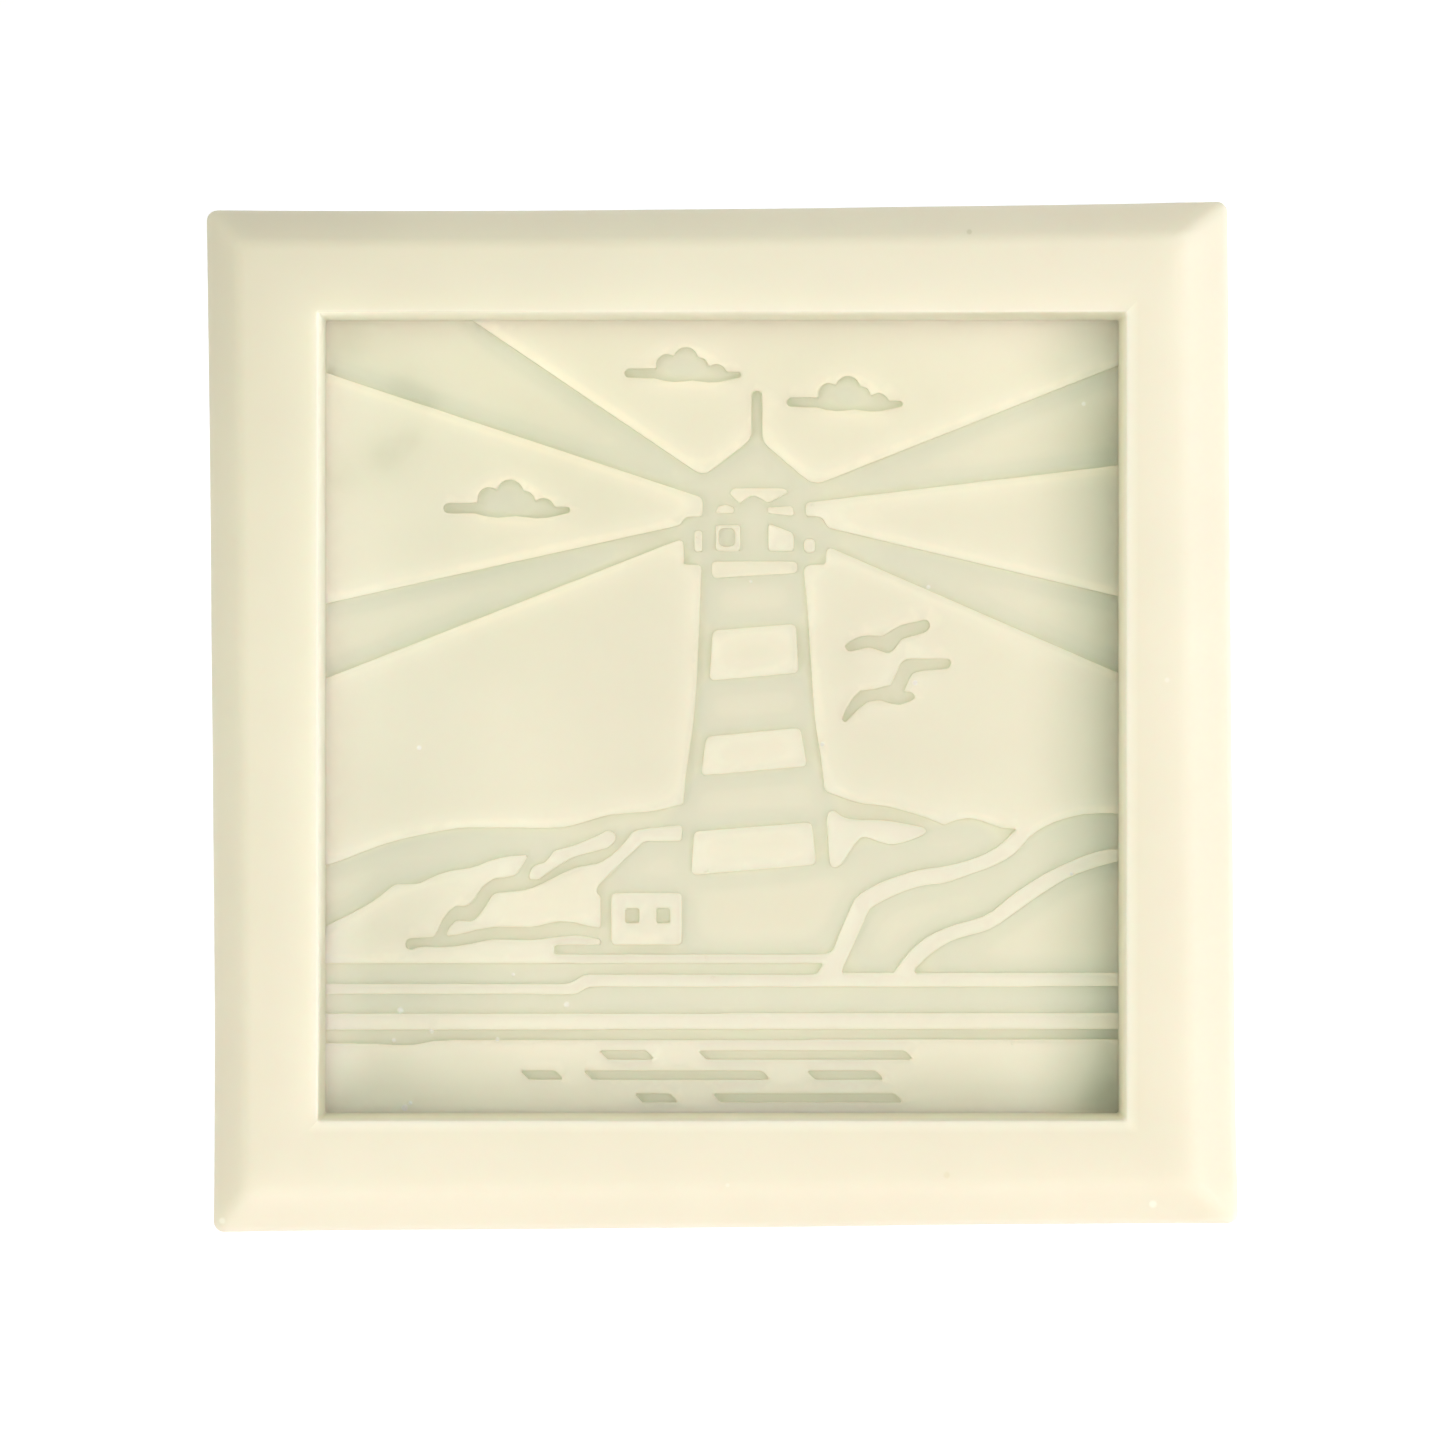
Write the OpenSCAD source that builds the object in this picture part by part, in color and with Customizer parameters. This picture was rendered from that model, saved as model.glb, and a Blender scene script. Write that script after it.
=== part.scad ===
// Square silicone soap mould with a lighthouse picture moulded into the floor of its cavity.
// One casting, built from its own features: foot slab, four mitred walls and the raised picture.
// Origin: middle of the underside. +Z is up, +Y is the top of the picture.

/* [Block] */
// Outside width and depth of the square block
body_w = 90; // [84:1:110]
// Overall height
body_h = 30; // [24:1:45]
// Radius of the four upright outside corners
corner_r = 1.2; // [0.5:0.1:3]
// Width of the bevel around the top, seen from above
bevel_w = 3.2; // [1:0.1:4]
// How far that bevel drops
bevel_h = 2.8; // [1:0.1:4]
// Chamfer around the foot
foot_chamfer = 0.6; // [0.2:0.1:1.5]

/* [Cavity] */
// Width of the square cavity at its floor
floor_w = 71; // [66:0.5:72]
// How far each cavity wall leans out from the floor to the rim
draft = 0.1; // [0.05:0.05:1]
// Thickness of the slab under the lowest parts of the floor
slab_h = 6.3; // [4:0.1:8]

/* [Picture] */
// Height of the raised fields above the lowest parts of the floor
relief_h = 0.9; // [0.8:0.1:2.4]
// Height of the shallow details in the lamp house
detail_h = 0.6; // [0.4:0.1:1.6]

/* [Colour] */
// Colour of the cast silicone
silicone = [0.94, 0.91, 0.81]; // [0:0.01:1]

/* [Hidden] */

half = body_w / 2;
overshoot = 1;              // how far cutting shapes run past what they cut
arc_step = 9;               // degrees between points on a corner arc
arc_parts = 8;              // straight pieces in one rounded heap of a cloud
blend_steps = 4;            // pieces in a blended corner
curve_steps = 4;            // pieces between two points of a curve
tile = 71;                  // the picture is drawn on a square of this width
edge = tile / 2;            // where the picture meets the cavity walls

// ---- Outlines -------------------------------------------------------------------------------
// A corner is [x, y] or [x, y, blend]: blend is how far from the corner its rounding starts.

function spot(corner) = [corner.x, corner.y];
function blend(corner) = len(corner) > 2 ? corner.z : 0;
function toward(a, b, reach) = a + reach * (b - a) / norm(b - a);

// Corner b between a and c, as a short parabola that leaves both edges smoothly
function bend(a, b, c, reach) =
  let (from = toward(b, a, reach), to = toward(b, c, reach))
  [for (t = [0:1 / blend_steps:1]) (1 - t) ^ 2 * from + 2 * t * (1 - t) * b + t ^ 2 * to];

// Closed outline with every blended corner rounded
function outline(corners) =
  let (n = len(corners))
  [for (i = [0:n - 1])
    let (b = corners[i], a = corners[(i + n - 1) % n], c = corners[(i + 1) % n])
    each blend(b) > 0 ? bend(spot(a), spot(b), spot(c), blend(b)) : [spot(b)]];

function curve_point(a, b, c, d, t) =
  b + 0.5 * t * (c - a + t * (2 * a - 5 * b + 4 * c - d + t * (3 * b - a - 3 * c + d)));

// Open curve that passes through every point
function curve(points) =
  let (last = len(points) - 1)
  [for (i = [0:last - 1], k = [0:curve_steps - 1])
    curve_point(points[max(i - 1, 0)], points[i], points[i + 1], points[min(i + 2, last)],
                k / curve_steps),
   points[last]];

// Closed curve that passes through every point
function loop(points) =
  let (n = len(points))
  [for (i = [0:n - 1], k = [0:curve_steps - 1])
    curve_point(points[(i + n - 1) % n], points[i], points[(i + 1) % n], points[(i + 2) % n],
                k / curve_steps)];

// Part of a circle between two angles
function arc(centre, radius, from, to) =
  [for (k = [0:arc_parts]) let (a = from + (to - from) * k / arc_parts)
    centre + radius * [cos(a), sin(a)]];

// Rectangle from its low and high corners, all four corners blended alike
function box(low, high, reach) =
  [[low.x, low.y, reach], [high.x, low.y, reach], [high.x, high.y, reach], [low.x, high.y, reach]];

// Arc of one upright outside corner, its centre on the diagonal [sx, sy]
function corner_arc(sx, sy, from, to) =
  [for (a = [from:arc_step:to])
    (half - corner_r) * [sx, sy] + corner_r * [cos(a), sin(a)]];

// ---- Block ----------------------------------------------------------------------------------

// Long bar along Y whose section is drawn as [distance from the middle, height]
module bar(section) rotate([90, 0, 0])
  linear_extrude(body_w + 2 * overshoot, center = true) polygon(section);

module foot_bar() {
  wide = half + overshoot;
  bar([[-half + foot_chamfer, 0], [half - foot_chamfer, 0], [wide, foot_chamfer + overshoot],
       [wide, slab_h], [-wide, slab_h], [-wide, foot_chamfer + overshoot]]);
}

module base_slab() color(silicone) intersection() {
  linear_extrude(slab_h + overshoot) polygon(concat(
    corner_arc(1, 1, 0, 90), corner_arc(-1, 1, 90, 180),
    corner_arc(-1, -1, 180, 270), corner_arc(1, -1, 270, 360)));
  foot_bar();
  rotate([0, 0, 90]) foot_bar();
}

// One wall, mitred at both ends; turned 0 degrees it stands on the +X side
module wall(turn) {
  inner = floor_w / 2;
  past = bevel_w + overshoot;
  bevel_end = body_h - past * bevel_h / bevel_w;
  color(silicone) rotate([0, 0, turn]) intersection() {
    linear_extrude(body_h + overshoot) polygon(concat(
      [(inner - overshoot) * [1, 1], (inner - overshoot) * [1, -1]],
      corner_arc(1, -1, -45, 0), corner_arc(1, 1, 0, 45)));
    bar([[inner, slab_h], [inner, slab_h + relief_h], [inner + draft, body_h],
         [half - bevel_w, body_h], [half + overshoot, bevel_end], [half + overshoot, slab_h]]);
  }
}

module wall_right() wall(0);
module wall_back() wall(90);
module wall_left() wall(180);
module wall_front() wall(270);

// ---- Picture: fields raised above the lowest parts of the floor ------------------------------

// Where the upper headland leaves the sky field
headland_tip = [[26.4, -10.05], [28, -10.4]];

module raised(height = relief_h) color(silicone) translate([0, 0, slab_h])
  linear_extrude(height) scale(floor_w / tile) children();

// Cloud of four rounded heaps on a flat base that runs out to both sides
module cloud(place, size = 1) translate(place) scale(size) polygon(concat(
  arc([-4.9, -0.37], 0.4, 270, 90), arc([-1.55, 0.4], 0.95, 200, 47),
  arc([0.17, 0.88], 1.1, 168, 8), arc([1.39, 0.24], 0.8, 99, -8),
  arc([2.9, -0.5], 0.95, 139, 15), arc([4.85, -0.52], 0.25, 90, -80),
  curve([[3.2, -1.15], [2.2, -1.18], [0.8, -1]]),
  curve([[-0.7, -1.15], [-1.8, -1.02], [-2.7, -0.78]])));

// Gull with both wings up and forward
module bird_far() polygon(loop([
  [11.05, 6.35], [11.9, 6.95], [13, 7.25], [14.3, 7.2], [15.1, 7.65], [16, 8.15], [17.2, 8.4],
  [18.1, 8.65], [18.55, 8.4], [18.45, 7.75], [17.6, 7.35], [16.4, 7.05], [15.95, 6.75],
  [15.6, 6.15], [14.9, 5.7], [14.3, 5.85], [13.2, 6.2], [12.2, 6], [11.4, 5.85]]));

// Gull with one wing raised and one swept back
module bird_near() polygon(outline(concat(
  curve([[10.75, -0.3], [11.1, 0.6], [11.7, 1.6], [12.4, 2.35]]),
  curve([[13.6, 2.4], [14.4, 2.65], [15.1, 2.8]]), curve([[15.6, 3.8], [16, 4.7], [16.5, 5.15]]),
  [[20.55, 5.15, 0.4], [20.4, 4.3, 0.4]], curve([[18.4, 4.15], [17.2, 3.9], [16.65, 3.1]]),
  [[16.25, 2.15, 0.2]], curve([[16.9, 2.2], [17.3, 1.75], [16.8, 1.35], [15.9, 1.05]]),
  curve([[15, 1.2], [14.2, 1.45], [13.1, 1.35]]), curve([[12, 0.5], [11.4, -0.2]]),
  [[11, -0.55, 0.2]])));

// Upper sky between the two high light beams, notched by the lamp roof and its finial
module sky_top() raised() difference() {
  polygon(outline([
    [-22.4, edge], [edge, edge], [edge, 31.45], [8.2, 20.65, 1.1], [3.6, 24.6, 0.7],
    [3.6, 29.15, 0.45], [2.65, 29.15, 0.45], [2.65, 24.8, 0.7], [-1.7, 21.5, 0.9]]));
  cloud([-3.4, 31.1]);
  cloud([11.1, 28.5]);
}

module sky_left() raised() difference() {
  polygon(outline([
    [-edge, 30.8], [-1.7, 19.6, 0.5], [-1.75, 17.9, 0.3], [-3.3, 17.88, 0.35],
    [-3.75, 17.1, 0.35], [-edge, 10.1]]));
  cloud([-19.15, 19.05], 1.09);
}

module sky_right() raised() polygon(outline([
  [edge, 22.5], [edge, 10.75], [9.45, 16.9, 0.45], [9, 17.88, 0.45], [7.5, 17.9, 0.35],
  [7.5, 19.15, 0.4]]));

// The left edge of the tower and the ridge of the hill bound this field
module sky_lower_left() raised() polygon(outline(concat(
  [[-edge, 3.4], [-3.42, 16, 0.7], [-3.42, 13.6, 0.3], [-1.78, 13.6, 0.5]],
  curve([[-1.85, 12.5], [-1.95, 10], [-2.17, 5], [-2.5, 0], [-3.19, -5], [-3.42, -7.4]]),
  [[-3.5, -7.92, 0.2]],
  curve([[-4.2, -7.98], [-6, -8.45], [-9.5, -8.75], [-11, -9.05], [-13.5, -9.8], [-15.5, -9.98],
         [-22, -9.95], [-24.5, -10.15], [-29.5, -11.2], [-34, -12.85], [-edge, -13.3]]))));

module sky_lower_right() raised() difference() {
  polygon(outline(concat(
    [[edge, 3.9], [9.33, 15.3, 0.8], [9.3, 13.58, 0.35], [7.75, 13.6, 0.3], [7.32, 13.2, 0.2]],
    curve([[7.42, 12], [7.63, 10], [7.96, 5], [8.3, 0], [8.75, -3], [9.08, -5.5]]),
    [[9.2, -6.7, 0.4]],
    curve([[10.4, -7.1], [11.6, -7.55], [13, -7.85], [15, -8.1], [18, -8.95], [19.9, -9.7]]),
    curve([[21, -9.25], [22, -9.12], [23, -9.25], [24, -9.6], [25, -9.98]]),
    [headland_tip[0], headland_tip[1]],
    curve([[29, -9.78], [30, -9.35], [32, -8.82], [33.5, -8.68], [edge, -8.68]]))));
  bird_far();
  bird_near();
}

// Shallow panes high in the lamp house
module lamp_head() raised(detail_h) {
  polygon(outline(concat(
    [[0.65, 20, 0.2], [1.1, 20.47, 0.2], [5.5, 20.45, 0.3], [6, 20.12, 0.1], [4.1, 19.05, 0.3]],
    curve([[3.7, 19.4], [2.8, 19.78], [2.1, 19.45]]), [[1.6, 19.02, 0.2]])));
  polygon(outline([[-0.6, 18.2, 0.15], [-0.3, 18.85, 0.15], [0.4, 18.98, 0.2],
                   [1.15, 18.7, 0.2], [1.05, 18.18, 0.15]]));
  polygon(outline([[4.1, 18.75, 0.15], [6.35, 18.88, 0.3], [6.45, 17.95, 0.2],
                   [4.1, 18.2, 0.15]]));
}

module lamp_windows() raised() {
  difference() {
    polygon(outline(box([-0.57, 14.82], [1.67, 17.17], 0.35)));
    polygon(outline(box([-0.3, 15.2], [1.2, 16.87], 0.6)));
  }
  polygon(outline([[4.15, 17.32, 0.35], [6.45, 16.42, 0.4], [6.45, 14.78, 0.35],
                   [4.15, 14.78, 0.35]]));
  polygon(outline(box([-2.45, 14.75], [-1.75, 16.65], 0.25)));
  polygon(outline(box([7.35, 14.65], [8.35, 15.9], 0.4)));
}

module gallery_band() raised(detail_h)
  polygon(outline([[-0.93, 13.88, 0.4], [6.8, 13.88, 0.45], [6.75, 12.85, 0.4],
                   [-0.88, 12.38, 0.4]]));

module tower_stripes() raised() for (stripe = [
  [[-0.83, 7.7], [6.6, 8.3], [6.87, 3.9], [-1.12, 3.2]],
  [[-1.4, -1.8], [7.02, -1], [7.65, -4.45], [-1.88, -5.3]],
  [[-2.5, -10.3], [8.05, -9.45], [8.47, -13.25], [-2.72, -14.2]]])
  polygon(outline([for (corner = stripe) [corner.x, corner.y, 0.5]]));

module cottage_front() raised() difference() {
  polygon(outline(box([-9.88, -20.45], [-3.6, -15.82], 0.4)));
  for (x = [-8.03, -5.25]) translate([x, -17.82])
    polygon(outline(box([-0.62, -0.68], [0.62, 0.68], 0.2)));
}

// Slope that runs up to the cottage roof and along its ridge
module hill_middle() raised() polygon(outline(concat(
  [[-24.75, -19.7, 0.3]],
  curve([[-24.4, -18.9], [-23.8, -18.3], [-23.2, -18.28], [-22.5, -18.35], [-21.9, -18],
         [-21.2, -17.1], [-20.6, -16.1], [-20, -15.76], [-18.5, -15.66], [-17, -15.35],
         [-15, -14.4], [-13.2, -13.55], [-12, -13.3], [-11, -13.1], [-9.7, -12.3],
         [-8.7, -11.3], [-8.2, -10.6], [-7.6, -10.18], [-6, -9.95]]),
  [[-3.55, -9.72, 0.35], [-3.6, -11.15, 0.3], [-7, -11.15, 0.4], [-11.1, -15.1, 0.3]],
  [[-11.25, -15.75, 0.15], [-10.85, -16.1, 0.2], [-10.85, -18.98, 0.3]],
  curve([[-12, -18.75], [-13.5, -18.4], [-15, -18.4], [-16.8, -18.82], [-20, -18.85],
         [-22, -19.1], [-23.4, -19.5]]))));

// Big slope at the left, down to the shore; a sunken path splits it from the middle slope
module hill_left() raised() polygon(outline(concat(
  [[-edge, -18.8]],
  curve([[-33, -17.55], [-31, -16.4], [-29.5, -15.2], [-28.8, -15], [-27.2, -14.95],
         [-26, -14.4], [-24.5, -13.85], [-22.3, -13.5], [-20.6, -12.85], [-19, -12.5]]),
  [[-17.3, -12.35, 0.4]],
  curve([[-17.9, -13.4], [-18.4, -14.1], [-19.2, -14.4], [-20.3, -14.5], [-21.3, -15.1],
         [-22.3, -16.5], [-23, -16.97], [-23.9, -17], [-24.8, -17.85], [-25.4, -19.1],
         [-25.85, -19.75]]),
  curve([[-27.5, -19.8], [-28.2, -20], [-28.25, -20.65], [-27.75, -20.9], [-27.1, -20.63],
         [-24.8, -20.63], [-22.5, -20.35], [-20.5, -19.95], [-17, -20], [-14, -19.65],
         [-12.6, -19.63]]),
  [[-10.8, -19.95, 0.3], [-10.9, -20.47, 0.2], [-15, -20.47, 0.25], [-15, -21.28, 0.25]],
  [[shore_left, -21.28], [shore_left, shore_low], [-edge, shore_low]])));

module hill_behind() raised() polygon(loop([
  [-17.25, -14.5], [-17.05, -13.7], [-16.6, -13.28], [-15.9, -13.1], [-15.4, -12.6],
  [-14.9, -12], [-13.2, -11.55], [-12.2, -11.1], [-11.2, -10.7], [-10.2, -10.22],
  [-9.55, -10.55], [-9.6, -11.2], [-10.4, -11.8], [-12.5, -12.35], [-13.6, -12.75],
  [-15.4, -13.85], [-16.4, -14.55]]));

module hill_beside_tower() raised() polygon(loop([
  [9.42, -9.2], [9.62, -8.55], [10.1, -8.45], [10.6, -8.85], [11.4, -9.15], [13, -9.25],
  [14.6, -9.3], [17, -9.7], [18.1, -9.98], [18.2, -10.45], [17.2, -10.95], [16.2, -11.3],
  [15.2, -11.45], [14.3, -11.3], [12.9, -10.8], [12.2, -11.05], [11.5, -12], [10.8, -13.1],
  [10.2, -13.52], [9.75, -13.3], [9.6, -12.4], [9.48, -10.8]]));

// ---- Shore and water -------------------------------------------------------------------------

shore_left = -14.7;         // where the shore rib starts at the end of the big slope
shore_right = 9.1;          // where it meets the upper headland
shore_low = -22.1;          // lower edge of the shore rib
bank_y = -22.95;            // top of the water rib below the headlands

module headland_upper() raised() polygon(outline(concat(
  [headland_tip[1], headland_tip[0]],
  curve([[25.5, -11], [24.5, -11.8], [22.5, -12.75], [20, -13.4], [18, -13.65], [16, -14.2],
         [14, -15], [12.6, -15.75], [11.9, -16.4], [11.4, -17.45], [10.5, -19.5]]),
  [[9.95, -21.05, 0.5], [shore_right, -21.28], [shore_right, shore_low, 0.3]],
  [[8.6, bank_y], [10.75, bank_y], [10.85, -22.4]],
  curve([[11.5, -21.1], [12.4, -19], [12.95, -17.8], [13.4, -17.1], [15, -16.2], [17, -15.4],
         [18.5, -15.05], [20, -14.9], [22, -14.2], [24, -13.5], [25.4, -12.8], [26.6, -11.9],
         [27.2, -11.1]]))));

module headland_lower() raised() polygon(outline(concat(
  curve([[edge, -11.9], [34, -12], [32, -12.65], [29, -14.05], [26, -16], [24.3, -17.4],
         [23, -18.05], [21, -18.6], [19, -19.4], [17.4, -20.5], [16.2, -21.8],
         [15.4, bank_y]]),
  curve([[17.25, bank_y], [17.4, -22.5], [18.3, -21.6], [20, -20.35], [21.4, -19.8],
         [23.4, -19.25], [24.6, -18.7], [27, -17], [29, -15.6], [31, -14.45], [33, -13.65],
         [edge, -12.95]]))));

module shore_rib() raised()
  polygon([[shore_left, -21.28], [shore_right, -21.28], [shore_right, shore_low],
           [shore_left, shore_low]]);

module water_rib_upper() raised() polygon(outline([
  [-edge, -23.93], [-13.6, -23.93, 0.4], [-12.4, -23.12, 0.4], [8.1, -23.12, 0.2],
  [8.6, bank_y], [10.75, bank_y], [15.4, bank_y], [17.25, bank_y], [edge, bank_y],
  [edge, -24.17], [-12, -24.2, 0.4], [-13.1, -24.88, 0.4], [-edge, -24.85]]));

module water_rib_lower() raised()
  polygon([[-edge, -26.6], [edge, -26.55], [edge, -27.98], [-edge, -28.05]]);

// Sunken ripple with slanted ends, from its upper left to its lower right corner
module ripple(left, right, y) {
  h = 0.8;
  slant = 0.75;
  polygon(outline([[left, y, 0.2], [right - slant, y, 0.35], [right, y - h, 0.35],
                   [left + slant, y - h, 0.2]]));
}

module water_field() raised() difference() {
  polygon(outline(concat(
    curve([[-edge, -29.25], [-31, -29.3], [-28, -29.42], [-25.3, -29], [-20, -28.95]]),
    [[edge, -28.9], [edge, -edge], [-edge, -edge]])));
  for (ends = [[-11, -6], [-2.15, 17.15]]) ripple(ends[0], ends[1], -29.9);
  for (ends = [[-18.05, -14.15], [-12.4, 4.35], [7.6, 14.55]]) ripple(ends[0], ends[1], -31.7);
  for (ends = [[-7.85, -3.85], [-0.85, 16.25]]) ripple(ends[0], ends[1], -33.75);
}

base_slab();
wall_front();
wall_back();
wall_left();
wall_right();
sky_top();
sky_left();
sky_right();
sky_lower_left();
sky_lower_right();
lamp_head();
lamp_windows();
gallery_band();
tower_stripes();
cottage_front();
hill_middle();
hill_left();
hill_behind();
hill_beside_tower();
headland_upper();
headland_lower();
shore_rib();
water_rib_upper();
water_rib_lower();
water_field();
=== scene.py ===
"""A square silicone soap mould with a lighthouse picture moulded into its cavity floor.

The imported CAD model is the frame: the main sizes and the picture's outlines are read from it. Two
closed pieces stand for its nodes: mould_shell (slab and walls) and relief_floor (the picture), both
of the same soft cast silicone. Lengths in the shape sections are in millimetres, and are turned into
metres where a mesh is made. +X is right, +Y is the top of the picture and +Z is up.
"""

import math

import bmesh
import bpy
import numpy as np
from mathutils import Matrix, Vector, noise
from mathutils.geometry import delaunay_2d_cdt


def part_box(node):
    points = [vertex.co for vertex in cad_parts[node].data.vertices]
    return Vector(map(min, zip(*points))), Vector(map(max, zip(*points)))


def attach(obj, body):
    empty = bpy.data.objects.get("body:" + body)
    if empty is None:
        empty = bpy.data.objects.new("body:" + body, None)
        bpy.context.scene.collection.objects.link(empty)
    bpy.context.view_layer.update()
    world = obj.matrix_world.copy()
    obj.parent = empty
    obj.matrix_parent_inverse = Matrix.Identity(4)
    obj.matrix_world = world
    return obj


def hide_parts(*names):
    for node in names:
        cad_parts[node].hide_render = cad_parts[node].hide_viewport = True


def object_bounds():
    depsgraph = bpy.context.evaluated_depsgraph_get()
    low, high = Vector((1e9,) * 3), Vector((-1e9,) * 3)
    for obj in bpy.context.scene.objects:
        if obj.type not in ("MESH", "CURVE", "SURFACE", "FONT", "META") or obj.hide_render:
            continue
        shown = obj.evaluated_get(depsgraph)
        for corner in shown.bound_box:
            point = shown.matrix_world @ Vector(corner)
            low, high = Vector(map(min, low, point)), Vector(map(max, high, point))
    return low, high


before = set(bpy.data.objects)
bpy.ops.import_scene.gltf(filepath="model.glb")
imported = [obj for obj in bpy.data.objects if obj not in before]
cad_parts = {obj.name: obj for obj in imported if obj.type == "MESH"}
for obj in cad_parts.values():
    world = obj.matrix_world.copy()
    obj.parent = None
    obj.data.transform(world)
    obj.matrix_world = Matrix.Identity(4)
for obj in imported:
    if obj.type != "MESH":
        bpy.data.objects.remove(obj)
cad_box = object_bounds()

MM = 0.001
WALLS = ("wall_front", "wall_back", "wall_left", "wall_right")
SHELL_NODES = ("base_slab",) + WALLS
PICTURE_NODES = tuple(sorted(set(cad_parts) - set(SHELL_NODES)))

# ---- Sizes read from the frame ---------------------------------------------------------------
low, high = cad_box
BLOCK = (high.x - low.x) / 2 / MM            # from the middle to the outside of a wall
RIM_Z = high.z / MM                          # height of the flat rim
FLOOR_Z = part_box("base_slab")[1].z / MM      # lowest level of the picture
picture_corners = [corner for node in PICTURE_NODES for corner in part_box(node)]
PICTURE = max(corner.x for corner in picture_corners) / MM   # the picture meets the walls here
DRAFT = 0.1                                  # each cavity wall leans out this far up to the rim

# ---- The shell -------------------------------------------------------------------------------
RIGHT, BACK, LEFT, FRONT = range(4)
BEVEL_WIDTH = {RIGHT: 3.9, BACK: 2.9, LEFT: 2.8, FRONT: 3.6}   # hand-poured, so no two are alike
BEVEL_DROP = {RIGHT: 2.6, BACK: 4.2, LEFT: 3.6, FRONT: 2.7}
BEVEL_SOFT = 1.6            # rounding between the rim and the bevel
CROWN = 0.22                # the rim falls this much from the cavity to the bevel
SHOULDER_SOFT = 1.3         # rounding between the bevel and the outside
CORNER_BLEND = 14           # the bevels of two sides grow alike over this length
FOOT_CHAMFER = 0.6
CORNER_RADIUS = 1.0         # upright outside corners
CAVITY_RADIUS = 0.25        # upright inside corners
LIP_WIDTH = 2.0             # the rim starts to roll over this far from the cavity
LIP_DROP = 0.13             # and is this much lower at the cavity
LIP_RADIUS = 0.2
RIM_BREAK = 1.8             # past the lip, the rim starts to fall after this far
DRAFT_END = 2.2             # the walls lean out up to this far below the rim
WALL_BULGE = 0.08           # the outside faces swell by this much above half height
TURN = math.radians(0.5)    # the outside was poured slightly turned against the cavity
BOW = {RIGHT: 0.0, BACK: -0.15, LEFT: 0.03, FRONT: 0.13}       # bulge of each outside face
FLARE = {                   # how far each outside face flares near its two ends
    RIGHT: (0.20, 0.05),
    BACK: (0.12, 0.12),
    LEFT: (0.30, 0.16),
    FRONT: (0.20, 0.15),
}
SIDE_STEPS = 56             # mesh pieces along one side
CORNER_STEPS = 5            # and round one corner
PLATE_TOP = 3.0             # top of the shell's plate, hidden under the picture
WALL_LAP = 0.02             # the foot of each cavity wall laps this far over the picture
DRIFT_ZONE = 4              # the outside's drift is full this near to it
# Slow waves of the poured faces and rim: length, and height
SIDE_WAVE = (17, 0.05)
RIM_WAVE = (12, 0.07)
# Which points of the shell take which painted light, shade and glow
WALL_ZONE = 0.3             # points this near behind the cavity's opening belong to its walls
LIP_ZONE = 0.1              # if they are this far below the lip
LIP_SHARE = 0.5             # share of the painted wall glow on the rolled lip, right and front
BACK_SHARE = 0.85           # and on the back wall
BEVEL_ZONE = 5              # points this near to the outside belong to the bevels
BEVEL_DEPTH = 2.5           # which get their full painted shade this far down
EVEN = -0.6                 # place across the block where the painted light and shade leave the tone even, used inside the cavity

# ---- The picture -----------------------------------------------------------------------------
CELL = 0.05                 # cells the raised fields are drawn on
COARSER = 4                 # these many cells make one of the coarser grid
SOFTNESS = 0.09             # blur that rounds the edges of the raised fields
NEARBY = 1.3                # blur that tells edges and narrow hollows from open fields
EDGE_LINES = (-0.05, -0.008, 0.008, 0.05)     # mesh lines this far each side of an edge
EDGE_COVERS = (0.29, 0.465, 0.535, 0.71)      # how covered the picture is at those lines
EDGE_SHARES = (0.0, 0.01, 0.99, 1.0)          # and the share of the full height there
BROAD_CONTOURS = (0.1, 0.25, 0.4, 0.6, 0.75, 0.9)  # and in the spread-out field round it
LONGEST_STEP = 0.9          # between two mesh points on a contour
SHARPEST_TURN = math.radians(10)
SHORTEST_STEP = 0.06        # no points nearer than this on a bend
GRID_STEP = 1.2             # between mesh points on open fields
GRID_GAP = 0.4              # which stay this far from an edge
EDGE_GUARD = 0.3            # more mesh points this far each side of an edge
GUARD_GAP = 0.1             # if the picture is level for this far round them
BROAD_GAP = 0.15            # and points on the broad contours likewise
BORDER_GAP = 0.6            # loose mesh points stay this far from the walls
SPOT_GAP = 0.35             # and those round flecks and pinholes this far
LEVEL_ENOUGH = 0.02         # change of cover that still counts as level
FOOT_FILLET = 0.3           # rounding where the floor meets the walls
FOOT_RISE = 0.12            # how far up the walls the rounding goes
FOOT_LINES = (0, 0.03, 0.1, 0.19, FOOT_FILLET)     # mesh lines this far from the walls
UNDER_WALL = 1.5            # the picture's slab runs this far into the walls
SLAB_BOTTOM = 0.8
# Slow waves of the cast floor: length, and height
FLOOR_WAVE = (11, 0.05)
FLOOR_RIPPLE = (3.5, 0.02)

# Flecks of cured silicone and dust: x, y, radius, height
FLECKS = (
    (-27.1, -2.8, 0.22, 0.10), (-28.8, -26.3, 0.28, 0.12), (-29.4, -29.0, 0.20, 0.12),
    (-26.0, -28.2, 0.22, 0.14), (-20.1, -28.9, 0.20, 0.08), (-28.4, -35.0, 0.30, 0.16),
    (-27.9, -34.6, 0.20, 0.12), (-13.9, -25.8, 0.26, 0.10), (-18.7, -23.1, 0.16, 0.08),
    (17.3, 3.0, 0.24, 0.10), (9.0, -2.5, 0.20, 0.10), (32.4, 28.0, 0.20, 0.08),
    (18.5, 11.6, 0.20, 0.10), (2.6, 12.1, 0.14, 0.08), (31.3, -14.1, 0.16, 0.06),
)
# Pinholes left by bubbles: x, y, radius, depth
PINHOLES = (
    (-1.3, -13.9, 0.22, 0.16), (26.0, -29.3, 0.16, 0.10), (8.1, 18.9, 0.20, 0.10),
    (-2.15, 16.05, 0.20, 0.12), (-1.4, -21.6, 0.16, 0.10), (-0.8, -23.4, 0.16, 0.10),
)
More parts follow.
